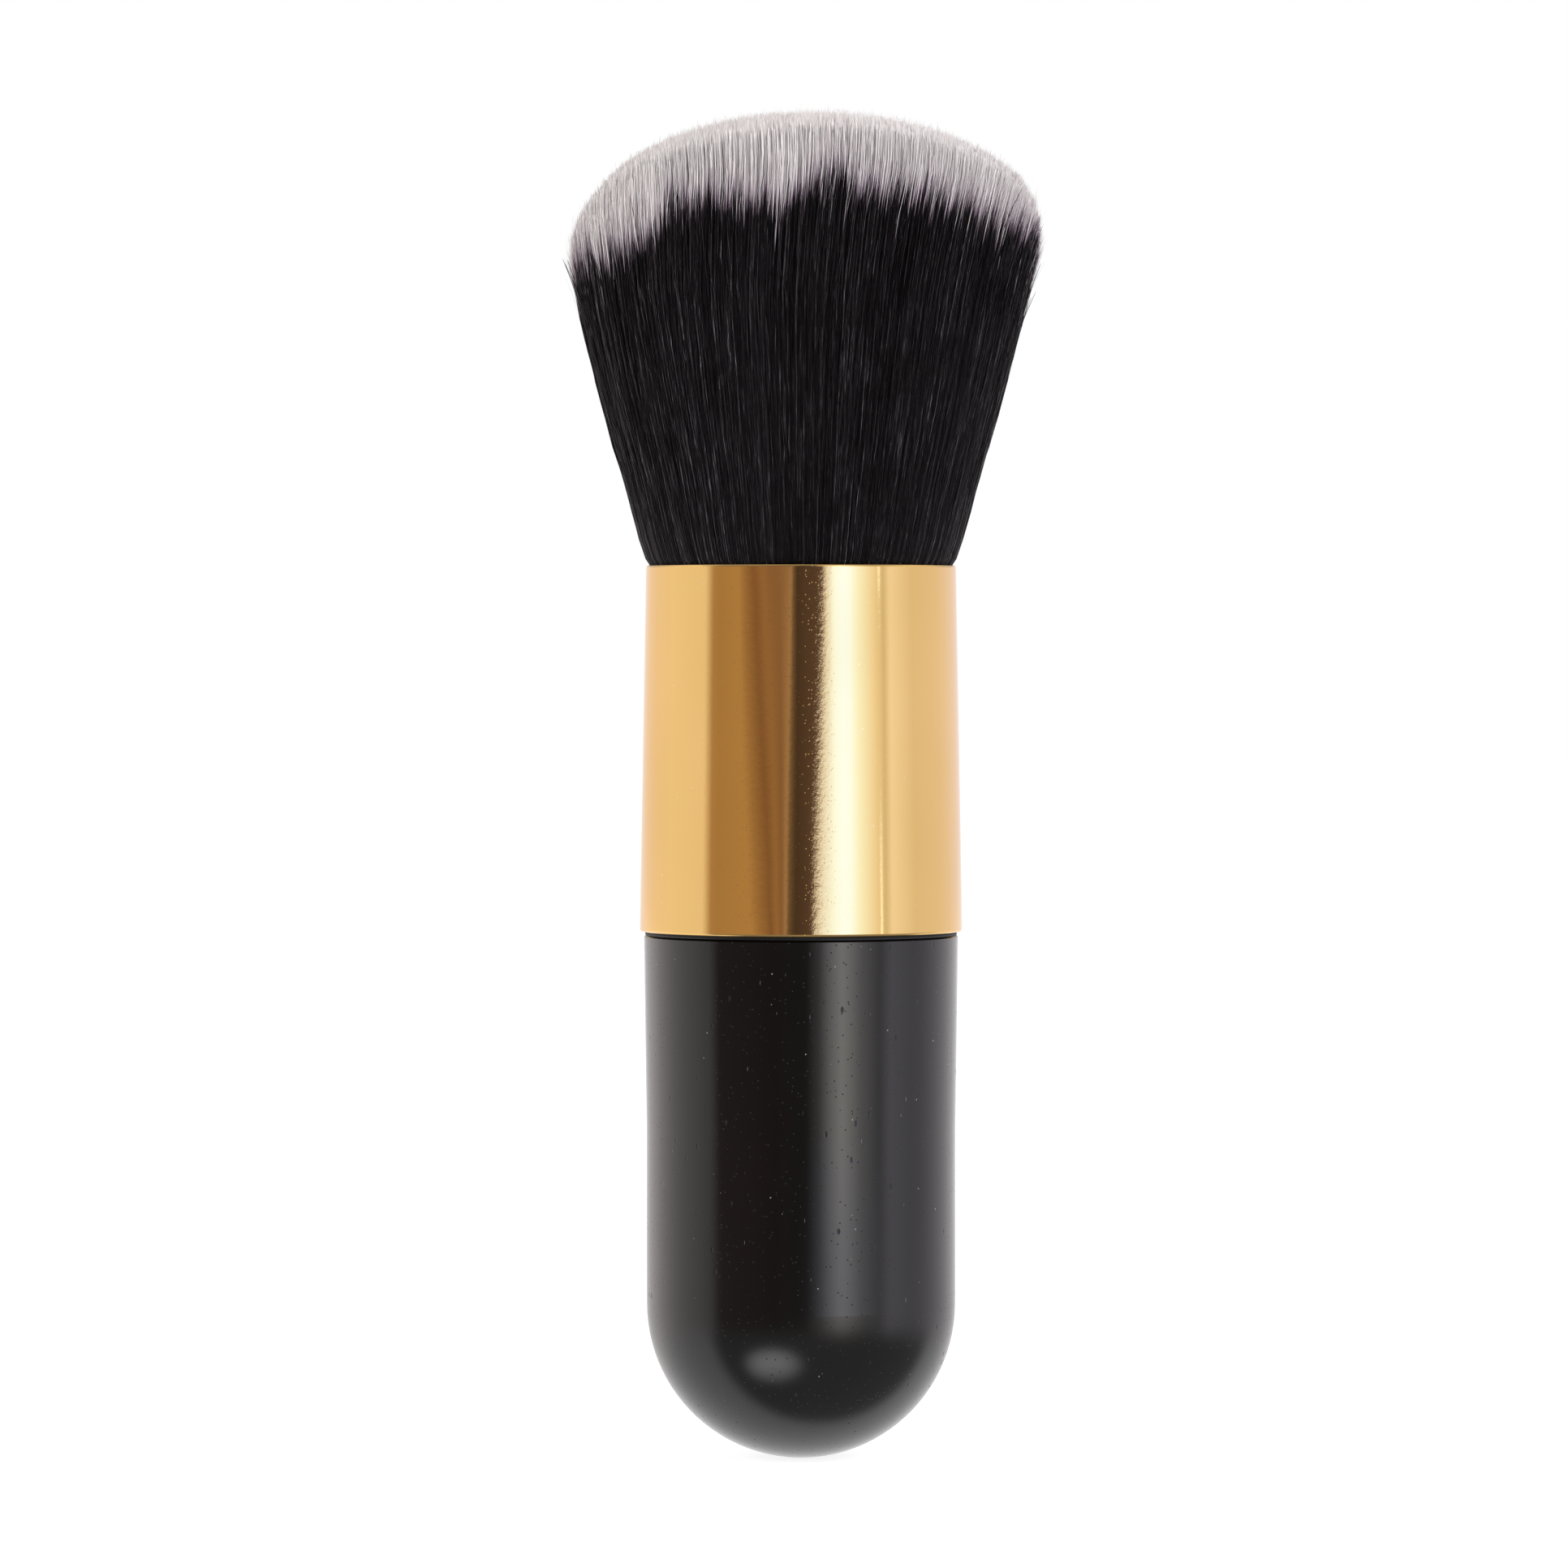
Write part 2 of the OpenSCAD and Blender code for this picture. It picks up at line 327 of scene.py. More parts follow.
def noise(tree, cells_per_mm, detail=2.0, roughness=0.5, stretch=(1, 1, 1)):
    """Noise over the object's own space."""
    made = add_node(tree, "ShaderNodeTexNoise", {
        "Vector": object_space(tree, Scale=stretch), "Scale": cells_per_mm / MM,
        "Detail": detail, "Roughness": roughness,
    })
    return made.outputs["Fac"]


def object_axis(tree, axis):
    """The object's own X, Y or Z in metres."""
    place = add_node(tree, "ShaderNodeTexCoord").outputs["Object"]
    return add_node(tree, "ShaderNodeSeparateXYZ", {"Vector": place}).outputs[axis]


def specks(tree, cell_mm, size, keep, stretch=(1, 1, 1), turn=(0, 0, 0)):
    """Small marks in a share of the cells of a Voronoi grid: 1 on a mark and 0 off it.

    size is a mark's radius as a share of its cell, and keep is the share of cells with a mark."""
    mapped = object_space(tree, Rotation=turn, Scale=stretch)
    inputs = {"Vector": mapped, "Scale": 1 / (cell_mm * MM)}
    cells = add_node(tree, "ShaderNodeTexVoronoi", inputs)
    near = remap(tree, cells.outputs["Distance"], (size, size * 0.5))
    colour = cells.outputs["Color"]
    channel = add_node(tree, "ShaderNodeSeparateColor", {"Color": colour}).outputs[0]
    return calc(tree, "MULTIPLY", near, calc(tree, "LESS_THAN", channel, keep))


def new_material(name, **constants):
    """A material whose Principled shader has these constants on its own sockets."""
    material = bpy.data.materials.new(name)
    material.use_nodes = True
    tree = material.node_tree
    shader = tree.nodes["Principled BSDF"]
    for key, value in constants.items():
        shader.inputs[key.replace("_", " ")].default_value = value
    return material, tree, shader


def shade(tree, grain, low, high):
    """A colour that follows a noise from one colour to another."""
    return ramp(tree, grain, zip(NOISE_SPAN, (low, high)))


def bump(tree, shader, height, distance_mm):
    """Gives the shader a bump of this height."""
    inputs = {"Height": height, "Distance": distance_mm * MM, "Strength": 1.0}
    made = add_node(tree, "ShaderNodeBump", inputs)
    tree.links.new(made.outputs[0], shader.inputs["Normal"])


def camera_apart(tree, lit, seen, output_kind):
    """Ends a tree with one shader for all light, and another for what the camera itself sees."""
    camera_ray = add_node(tree, "ShaderNodeLightPath").outputs["Is Camera Ray"]
    shaders = {0: camera_ray, 1: lit.outputs[0], 2: seen.outputs[0]}
    mixed = add_node(tree, "ShaderNodeMixShader", shaders).outputs[0]
    add_node(tree, output_kind, {"Surface": mixed})


def gold_material():
    """Polished gold anodised metal with a faint orange peel, dust and many pin pricks."""
    material, tree, shader = new_material("polished_gold", Metallic=1.0)
    drift = noise(tree, 0.08, detail=1.0)
    gold = shade(tree, drift, (0.75, 0.47, 0.165), (0.78, 0.49, 0.178))
    dust = specks(tree, cell_mm=1.3, size=0.06, keep=0.3)
    put(tree, shader.inputs["Base Color"], mix_colour(tree, dust, gold, (0.86, 0.72, 0.5)))
    clean = remap(tree, drift, NOISE_SPAN, (0.035, 0.05))
    rough = calc(tree, "ADD", clean, calc(tree, "MULTIPLY", dust, 0.25))
    put(tree, shader.inputs["Roughness"], rough)
    peel = noise(tree, 1.6, detail=3.0)
    # Fingers have rubbed a narrow upright strip, which is scuffed and pricked.
    aside = calc(tree, "ABSOLUTE", calc(tree, "SUBTRACT", object_axis(tree, "X"), RUBBED_X))
    rubbed = remap(tree, aside, RUBBED_SPAN)
    scuffs = noise(tree, 3.2, detail=3.0, roughness=0.7, stretch=(1, 1, 0.6))
    grain = calc(tree, "MULTIPLY", scuffs, remap(tree, rubbed, (0, 1), (0.1, 0.8)))
    pricks = specks(tree, cell_mm=0.3, size=0.2, keep=0.5)
    pricks = calc(tree, "MULTIPLY", pricks, remap(tree, rubbed, (0, 1), (0.25, 1.6)))
    relief = calc(tree, "ADD", calc(tree, "MULTIPLY_ADD", peel, 0.22, grain), pricks)
    bump(tree, shader, relief, distance_mm=0.006)
    return material


def black_material():
    """Gloss black lacquer, faintly wavy, with dings, dust and short hairline scratches."""
    material, tree, shader = new_material("gloss_black_lacquer", IOR=1.5)
    cloud = noise(tree, 0.06, detail=2.0)
    black = shade(tree, cloud, (0.0016, 0.0013, 0.0012), (0.0026, 0.0021, 0.0019))
    dust = calc(
        tree, "MAXIMUM",
        specks(tree, cell_mm=1.5, size=0.06, keep=0.3),
        specks(tree, cell_mm=0.9, size=0.055, keep=0.12))
    scratch = calc(
        tree, "MAXIMUM",
        specks(tree, cell_mm=3.4, size=0.05, keep=0.3, stretch=SCRATCH, turn=(0.5, 0.3, 0)),
        specks(tree, cell_mm=3.9, size=0.05, keep=0.25, stretch=SCRATCH, turn=(-0.7, 0.9, 0)))
    marks = calc(tree, "MAXIMUM", dust, calc(tree, "MULTIPLY", scratch, 0.5))
    put(tree, shader.inputs["Base Color"], mix_colour(tree, marks, black, grey(0.2)))
    dings = calc(
        tree, "MAXIMUM",
        specks(tree, cell_mm=1.3, size=0.13, keep=0.45, stretch=LONG_DING, turn=(0.2, 0.5, 0)),
        specks(tree, cell_mm=0.5, size=0.16, keep=0.8))
    rough = calc(tree, "ADD", calc(tree, "MULTIPLY", marks, 0.3),
                 calc(tree, "MULTIPLY", dings, 0.3))
    # Dirt dulls the edge just under the ferrule, and fingers have worn the lower half a little.
    height = object_axis(tree, "Z")
    rough = calc(tree, "ADD", rough, remap(tree, height, DIRT_SPAN, (0.0, 0.6)))
    rough = calc(tree, "ADD", rough, remap(tree, height, WEAR_SPAN, (0.0, 0.07)))
    clean = remap(tree, cloud, NOISE_SPAN, (0.085, 0.12))
    put(tree, shader.inputs["Roughness"], calc(tree, "ADD", clean, rough))
    peel = calc(tree, "MULTIPLY", noise(tree, 1.1, detail=3.0), 0.3)
    peel = calc(tree, "MULTIPLY_ADD", noise(tree, 6.0, detail=1.0), 0.07, peel)
    relief = calc(tree, "SUBTRACT", peel, calc(tree, "MULTIPLY", dings, 1.4))
    bump(tree, shader, relief, distance_mm=0.008)
    return material


def filament_material(name, translucence, streaks=False):
    """Dyed filament: black up to its dye line, a lilac fringe, then a pale end.

    Two values ride on the points: dye_mm, how far the point lies below the filament's dye line,
    and tone, a number for the whole filament. streaks adds fine upright streaks, for the body that
    stands for many filaments."""
    material, tree, shader = new_material(
        name, IOR=1.45, Specular_IOR_Level=0.13, Subsurface_Weight=translucence,
        Subsurface_Radius=(1, 1, 1), Subsurface_Scale=0.15 * MM)
    dye, tone = (add_node(tree, "ShaderNodeAttribute", attribute_name=key).outputs["Fac"]
                 for key in ("dye_mm", "tone"))
    if streaks:
        fine = noise(tree, 5.0, detail=2.0, stretch=(1, 1, 0.02))
        tone = calc(tree, "MULTIPLY_ADD", fine, 0.5, tone)
        dye = calc(tree, "ADD", dye, remap(tree, fine, NOISE_SPAN, (-1.0, 1.0)))
    # Painted highlights: the black is lightened here and there along a filament, where crimps
    # would catch the light.
    painted_glint_noise = noise(tree, 1.6, detail=2.0, stretch=(2.5, 2.5, 0.35))
    lit = remap(tree, painted_glint_noise, (0.38, 0.72))
    # lit is the painted highlight mask, which lifts the black ramp towards its lightest stop.
    dark = ramp(tree, calc(tree, "MULTIPLY_ADD", lit, 0.22, calc(tree, "MULTIPLY", tone, 0.8)), (
        (0.0, (0.0010, 0.0007, 0.0008)),
        (0.55, (0.0037, 0.0028, 0.0032)),
        (0.85, (0.0125, 0.0104, 0.0117)),
        (1.0, (0.0420, 0.0375, 0.0420)),
    ))
    pale = ramp(tree, tone, ((0.0, (0.77, 0.713, 0.700)), (1.0, (0.81, 0.757, 0.745))))
    faded = (0.58, 0.522, 0.532)
    lilac = (0.30, 0.212, 0.280)
    colour = mix_colour(tree, remap(tree, dye, FADE_SPAN), pale, faded)
    colour = mix_colour(tree, remap(tree, dye, LILAC_SPAN), colour, lilac)
    colour = mix_colour(tree, remap(tree, dye, BLACK_SPAN), colour, dark)
    put(tree, shader.inputs["Base Color"], colour)
    put(tree, shader.inputs["Roughness"], remap(tree, tone, (0, 1), (0.55, 0.45)))
    return material


def plain_material(name, low, high, roughness, cells_per_mm, relief_mm, metallic=0.0,
                   stretch=(1, 1, 1)):
    """Material of a piece that is hidden inside, with grain in its colour and relief."""
    material, tree, shader = new_material(name, Metallic=metallic)
    grain = noise(tree, cells_per_mm, detail=3.0, stretch=stretch)
    rough = remap(tree, grain, NOISE_SPAN, (roughness - 0.06, roughness + 0.06))
    put(tree, shader.inputs["Base Color"], shade(tree, grain, low, high))
    put(tree, shader.inputs["Roughness"], rough)
    bump(tree, shader, grain, relief_mm)
    return material


def smooth(values, low, high):
    """Smooth step of an array from 0 at low to 1 at high."""
    share = np.clip((values - low) / (high - low), 0, 1)
    return share * share * (3 - 2 * share)


def head_half(h, widest):
    """Half size along one axis of the fan at height h above the mouth. widest is the rim's."""
    inside = NECK_R - ROOT_PINCH * np.clip(-h, 0, ROOT_DROP) / ROOT_DROP
    rise = h / FLARE_H
    flare = NECK_R + (widest - NECK_R) * rise * (1 + FLARE_EASE * (1 - rise))
    bulge = LIP_BULGE * smooth(h, *LIP_RISE) * (1 - smooth(h, *LIP_FALL))
    return np.where(h < 0, inside, flare) + bulge


def head_place(u, v, h):
    """Where a filament at (u, v) of the unit disc is at height h, in millimetres."""
    lean = TIP_LEAN * np.clip(h / LEAN_FULL_H, 0, 1) ** LEAN_POWER
    return u * head_half(h, HALF_WIDTH) + lean, v * head_half(h, HALF_DEPTH)


def tip_height(u, v):
    """Height of the tips above the mouth over the unit disc, where a dome cuts the fan off."""
    inner = np.clip(1 - u * u - DEPTH_SHARE * v * v, 0, None)
    return RIM_LEN + (HEAD_LEN - RIM_LEN) * inner ** CROWN_POWER + CROWN_TILT * u ** 3


def waves(rng, count, low, high):
    """Smooth random field over the disc: a sum of plane waves of unit size.

    low and high are the least and greatest angle that a wave turns by over the disc's radius."""
    angle = rng.uniform(0, 2 * np.pi, count)
    pitch = rng.uniform(low, high, count)
    phase = rng.uniform(0, 2 * np.pi, count)

    def field(u, v):
        total = np.zeros_like(u)
        for a, k, p in zip(angle, pitch, phase):
            total += np.sin(k * (u * np.cos(a) + v * np.sin(a)) + p)
        return total / np.sqrt(count)
    return field


def disc_points(rng, count, inner, outer):
    """Evenly scattered places of the unit disc between two radii."""
    radius = np.sqrt(rng.uniform(inner ** 2, outer ** 2, count))
    angle = np.arange(count) * GOLDEN_ANGLE + rng.normal(0, ANGLE_SPREAD, count)
    return radius * np.cos(angle), radius * np.sin(angle)


def ring_quads(rings, around):
    """Faces between neighbouring rings, where each ring has this many points around."""
    quads = []
    for low in range(0, (rings - 1) * around, around):
        high = low + around
        for k in range(around):
            n = (k + 1) % around
            quads.append((low + k, low + n, high + n, high + k))
    return quads


def fan(first, around, tip):
    """Triangles from a ring of points to a tip."""
    return [(first + k, first + (k + 1) % around, tip) for k in range(around)]


def set_points(mesh, name, values):
    """Puts a number on each point, which the filaments' material reads under this name."""
    attribute = mesh.attributes.new(name, "FLOAT", "POINT")
    attribute.data.foreach_set("value", values.astype(np.float32))


def shade_smooth(mesh):
    """Shades all faces smooth."""
    mesh.polygons.foreach_set("use_smooth", np.ones(len(mesh.polygons), bool))


def link(name, data):
    """A new object in the scene."""
    made = bpy.data.objects.new(name, data)
    bpy.context.scene.collection.objects.link(made)
    return made


def tube_points(centres, radii):
    """Points of thin tubes with a side facing outwards: each tube's rings, then its tip."""
    tubes, rings = radii.shape
    outwards = np.arctan2(centres[:, -1, 1], centres[:, -1, 0])
    uneven = np.random.default_rng(SEED).normal(0, TURN_SPREAD, tubes)
    turn = outwards + np.pi / RING_SIDES + uneven
    corner = turn[:, None] + np.arange(RING_SIDES) * (2 * np.pi / RING_SIDES)
    across = np.stack([np.cos(corner), np.sin(corner), np.zeros_like(corner)], -1)
    corners = centres[:, :rings, None, :] + radii[:, :, None, None] * across[:, None, :, :]
    return np.concatenate([corners.reshape(tubes, -1, 3), centres[:, rings:]], 1)


def tube_faces(tubes, rings):
    """The points round each face of closed tubes, all in one row, and where each face starts."""
    per_tube = rings * RING_SIDES + 1
    sides = ring_quads(rings, RING_SIDES)
    ends = fan((rings - 1) * RING_SIDES, RING_SIDES, per_tube - 1) + [(2, 1, 0)]
    first = (np.arange(tubes) * per_tube)[:, None, None]
    quads = (np.array(sides)[None] + first).reshape(-1, 4)
    triangles = (np.array(ends)[None] + first).reshape(-1, 3)
    loops = np.concatenate([quads.reshape(-1), triangles.reshape(-1)])
    starts = np.concatenate([
        np.arange(len(quads)) * 4,
        len(quads) * 4 + np.arange(len(triangles)) * 3,
    ])
    return loops, starts


def tube_strips(tubes, rings):
    """Place of each point in the bake's square, where each tube has a narrow upright strip."""
    columns = math.ceil(math.sqrt(tubes * STRIP_ASPECT))
    rows = math.ceil(tubes / columns)
    tip_beside, tip_along = STRIP_TIP
    beside = np.append(np.tile(STRIP_CORNERS, rings), tip_beside)
    along = np.append(np.repeat(np.linspace(*STRIP_RINGS, rings), RING_SIDES), tip_along)
    strip = np.arange(tubes)
    u = ((strip % columns)[:, None] + beside[None]) / columns
    v = ((strip // columns)[:, None] + along[None]) / rows
    return np.stack([u, v], -1).reshape(-1, 2)


def tube_mesh(name, centres, radii, values):
    """Closed thin tubes of three sides, each ending in a point.

    centres is (tubes, rings + 1, 3) with the tip last, radii is (tubes, rings), and values holds a
    number for each ring and tip of each tube under each attribute's name."""
    tubes, rings = radii.shape
    points = tube_points(centres, radii)
    loops, starts = tube_faces(tubes, rings)
    mesh = bpy.data.meshes.new(name)
    mesh.vertices.add(points.shape[0] * points.shape[1])
    mesh.vertices.foreach_set("co", (points.reshape(-1) * MM).astype(np.float32))
    mesh.loops.add(len(loops))
    mesh.loops.foreach_set("vertex_index", loops.astype(np.int32))
    mesh.polygons.add(len(starts))
    mesh.polygons.foreach_set("loop_start", starts.astype(np.int32))
    mesh.update(calc_edges=True)
    shade_smooth(mesh)
    for key, rows in values.items():
        spread = np.concatenate([np.repeat(rows[:, :rings], RING_SIDES, 1), rows[:, rings:]], 1)
        set_points(mesh, key, spread.reshape(-1))
    uv = tube_strips(tubes, rings)[loops]
    mesh.uv_layers.new(name="OFBake").data.foreach_set("uv", uv.reshape(-1).astype(np.float32))
    mesh.validate()
    return link(name, mesh)


class Head:
    """Fields that neighbouring filaments share, so that they lie in locks."""

    def __init__(self):
        rng = np.random.default_rng(SEED)
        self.sway_x = waves(rng, 7, 5, 22)
        self.sway_y = waves(rng, 7, 5, 22)
        self.clump_x = waves(rng, 9, 45, 110)
        self.clump_y = waves(rng, 9, 45, 110)
        self.height = waves(rng, 6, 4, 12)
        self.dye = waves(rng, 6, 5, 16)
        self.lock = waves(rng, 9, 22, 60)
        self.tuft = waves(rng, 12, 160, 360)

    def paths(self, rng, u, v, heights, tips, layer):
        """Centre lines of filaments through rings at heights (tubes, rings + 1)."""
        count = len(u)
        reach = smooth(heights, *WANDER_SPAN)
        end = smooth(heights, *BEND_SPAN)
        # A filament keeps its place in the disc, wanders a little, is crimped, gathers with its
        # neighbours, and may splay outwards at its end.
        wander = rng.normal(0, layer.loose, (2, count, 1)) * reach
        bend = rng.normal(0, layer.drift, (2, count, 1)) * end
        phase = rng.uniform(0, 2 * np.pi, (2, count, 1))
        wave = rng.uniform(*CRIMP_WAVE, (count, 1))
        crimp = np.sin(2 * np.pi * heights / wave + phase)
        moved = wander + bend + layer.crimp * crimp * smooth(heights, *CRIMP_SPAN)
        rise = np.clip(1 - (tips[:, None] - heights) / SPLAY_LEN, 0, 1) ** SPLAY_POWER
        outwards = np.stack([u, v])[:, :, None] / np.hypot(u, v)[None, :, None]
        splay = np.minimum(rng.exponential(layer.splay, (count, 1)), SPLAY_MOST * layer.splay)
        moved += outwards * splay * rise

        def gathered(start, sway, clump):
            return (start + SWAY * sway(u, v)[:, None] * reach
                    + CLUMP * clump(u, v)[:, None] * end)
        x, y = head_place(u[:, None], v[:, None], heights)
        x = gathered(x, self.sway_x, self.clump_x) + moved[0]
        y = gathered(y, self.sway_y, self.clump_y) + moved[1]
        return np.stack([x, y, MOUTH_Z + heights], -1)

    def pale_length(self, u, v, tips):
        """Length of the pale ends: down to the photographed line in front, about even behind."""
        x, y = head_place(u, v, tips - PALE_LEN)
        nearness = CAMERA_DISTANCE / (CAMERA_DISTANCE + y * MM)
        across, line = zip(*DYE_LINE)
        eye = EYE_Z / MM
        seen = np.interp(x * nearness, across, line)
        front = MOUTH_Z + tips - (eye + (seen - eye) / nearness)
        even = PALE_LEN + DYE_WAVE * self.dye(u, v)
        length = even + (front - even) * smooth(-v, *DYE_FRONT)
        return length + DYE_LOCK * self.lock(u, v) + DYE_TUFT * self.tuft(u, v)

    def dye_length(self, rng, u, v, tips, kind):
        """Length of the pale end of each filament."""
        count = len(u)
        if kind == "dark":
            return np.full(count, DARK_STRAY_PALE_LEN)
        length = self.pale_length(u, v, tips)
        if kind == "pale":
            more = np.minimum(rng.exponential(PALE_STRAY_MEAN, count), PALE_STRAY_MOST)
            return length + PALE_STRAY_MORE + more
        longer = rng.random(count) < LONGER_SHARE
        length = length + rng.normal(0, DYE_SPREAD, count)
        return length + longer * np.minimum(rng.exponential(LONGER_MEAN, count), LONGER_MOST)


def filaments(head, layer, seed):
    """The pieces of one layer of filaments."""
    rng = np.random.default_rng(seed)
    count = layer.count
    u, v = disc_points(rng, count, layer.inner, layer.outer)
    tips = tip_height(u, v) + LENGTH_WAVE * head.height(u, v)
    tips += rng.normal(0, layer.tip_spread, count)
    edge = 1 + EDGE_RAGGED * smooth(np.hypot(u, v), *EDGE_SPAN) * v * v
    tips -= rng.exponential(layer.tip_scatter, count) * edge
    low = np.tile(np.array(layer.levels), (count, 1))
    high = tips[:, None] - np.array(layer.tip_levels)[None]
    heights = np.concatenate([np.minimum(low, high[:, :1] - RING_GAP), high, tips[:, None]], 1)
    centres = head.paths(rng, u, v, heights, tips, layer)
    rings = heights.shape[1] - 1
    below_tip = tips[:, None] - heights
    width = rng.uniform(*WIDTH_SPREAD, (count, 1)) * layer.radius
    radii = width * (1 - TAPER * smooth(below_tip[:, :rings], *TAPER_SPAN))
    values = {
        "dye_mm": below_tip - head.dye_length(rng, u, v, tips, layer.kind)[:, None],
        "tone": np.repeat(rng.random((count, 1)), rings + 1, 1),
    }
    made = []
    # Neighbours share a piece: the filaments are dealt out by their angle round the head.
    order = np.argsort(np.arctan2(v, u))
    for i, part in enumerate(np.array_split(order, layer.pieces)):
        name = f"{layer.name}_{i + 1}" if layer.pieces > 1 else layer.name
        shared = {key: rows[part] for key, rows in values.items()}
        made.append(tube_mesh(name, centres[part], radii[part], shared))
    return made


def head_mass(head):
    """Closed body just under the outer filaments, so that no light passes between them."""
    around = MASS_AROUND
    angle = np.arange(around) * 2 * np.pi / around
    u, v = np.cos(angle), np.sin(angle)
    edge_tips = tip_height(u, v)
    pale = head.pale_length(u, v, edge_tips)
    rings, dye = [], []

    def add_ring(share, h, below_dye_line):
        x, y = head_place(MASS_SHARE * u * share, MASS_SHARE * v * share, h)
        rings.append(np.stack([x, y, MOUTH_Z + h], -1))
        dye.append(below_dye_line)
    heights = [np.full(around, h) for h in MASS_LOW_RINGS]
    heights += [share * (edge_tips - MASS_SINK) for share in MASS_SIDE_RINGS]
    for h in heights:
        add_ring(1, h, edge_tips - h - pale)
    for inner in MASS_CROWN_RINGS:
        at_edge = smooth(np.array(inner), *CROWN_SINK_SPAN)
        sink = CROWN_SINK + (MASS_SINK - CROWN_SINK) * at_edge
        add_ring(inner, tip_height(u * inner, v * inner) - sink, np.full(around, sink - PALE_LEN))

    points = np.concatenate([*rings, [rings[-1].mean(0), rings[0].mean(0)]])
    top, foot = len(points) - 2, len(points) - 1
    faces = ring_quads(len(rings), around)
    faces += fan((len(rings) - 1) * around, around, top)
    faces += [((k + 1) % around, k, foot) for k in range(around)]
    mesh = bpy.data.meshes.new("filament_mass")
    mesh.from_pydata((points * MM).tolist(), [], faces)
    shade_smooth(mesh)
    set_points(mesh, "dye_mm", np.concatenate([*dye, [CROWN_SINK - PALE_LEN, MASS_FOOT_DYE]]))
    set_points(mesh, "tone", np.full(len(points), MASS_TONE))
    return link("filament_mass", mesh)


def build_head():
    """The whole filament head, which stands for the two bristle nodes of the frame."""
    head = Head()
    # Light passes along the sides' filaments, but the crown's dense tips let little through.
    side_look = filament_material("side_filament", translucence=0.75)
    tip_look = filament_material("tip_filament", translucence=0.08)
    pieces = []
    for i, layer in enumerate(LAYERS):
        made = filaments(head, layer, SEED + 1 + i)
        for piece in made:
            piece.data.materials.append(side_look if layer.levels else tip_look)
        pieces += made
    mass = head_mass(head)
    mass.data.materials.append(
        filament_material("packed_filaments", translucence=0.3, streaks=True))
    for piece in pieces + [mass]:
        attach(piece, "root")
    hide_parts("outer_bristles")
    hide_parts("core_bristles")


def dress_frame():
    """Materials for the solids that are shown as they are."""
    looks = {
        "handle_shell": black_material(),
        "ferrule": gold_material(),
        "counterweight": plain_material(
            "turned_steel", (0.42, 0.43, 0.45), (0.56, 0.57, 0.59), roughness=0.32,
            cells_per_mm=3, relief_mm=0.01, metallic=1.0, stretch=(0.2, 0.2, 4)),
        "weight_adhesive": plain_material(
            "hot_melt", (0.78, 0.70, 0.48), (0.86, 0.80, 0.60), roughness=0.4,
            cells_per_mm=0.5, relief_mm=0.05),
        "ferrule_adhesive": plain_material(
            "cured_glue", (0.84, 0.80, 0.66), (0.90, 0.88, 0.78), roughness=0.35,
            cells_per_mm=0.8, relief_mm=0.03),
        "root_bond": plain_material(
            "cured_resin", (0.60, 0.46, 0.22), (0.74, 0.61, 0.36), roughness=0.25,
            cells_per_mm=0.5, relief_mm=0.03),
        "root_binding": plain_material(
            "twisted_thread", (0.70, 0.66, 0.58), (0.90, 0.87, 0.80), roughness=0.8,
            cells_per_mm=5, relief_mm=0.05, stretch=(1, 1, 2.5)),
    }
    for name, material in looks.items():
        mesh = nodes[name].data
        mesh.materials.clear()
        mesh.materials.append(material)
        for polygon in mesh.polygons:
            polygon.material_index = 0


# Brightness and tint of the studio round the brush: degrees from the camera towards the right,
# and linear colour. The level ring is the narrow band that the ferrule reflects. Its softbox is
# tinted, because gold would otherwise show it white only where red and green have long clipped.
# The lower ring is what the handle reflects, and the upper ring mostly lights the head.
LEVEL_RING = (
    (-180, (1.0, 0.9, 0.85)),
    (-140, (1.08, 1.0, 0.95)),
    (-110, (1.1, 1.1, 1.08)),
    (-75, (1.05, 1.05, 1.05)),
    (-68, (0.52, 0.38, 0.26)),
    (-62, (0.5, 0.36, 0.22)),
    (-43, (0.54, 0.4, 0.25)),
    (-38, (0.43, 0.3, 0.19)),
    (-28, (0.27, 0.165, 0.115)),
    (-20.5, (0.38, 0.255, 0.175)),
    (-14.5, (0.3, 0.195, 0.15)),
    (-9.6, (0.45, 0.345, 0.3)),
    (-7.4, (0.2, 0.16, 0.15)),
    (-3.6, (0.08, 0.062, 0.066)),
    (11.3, (0.13, 0.1, 0.13)),
    (15, (1.0, 1.18, 1.85)),
    (24.5, (1.3, 2.0, 4.0)),
    (30, (1.3, 2.05, 4.7)),
    (36, (1.3, 2.05, 4.4)),
    (42, (1.27, 1.8, 2.9)),
    (54, (1.15, 1.3, 1.6)),
    (60, (1.0, 1.05, 1.15)),
    (63, (0.85, 0.9, 0.95)),
    (68.5, (1.16, 1.27, 1.6)),
    (90, (0.97, 1.0, 1.1)),
    (140, (1.04, 1.03, 1.17)),
    (180, (1.0, 0.9, 0.85)),
)
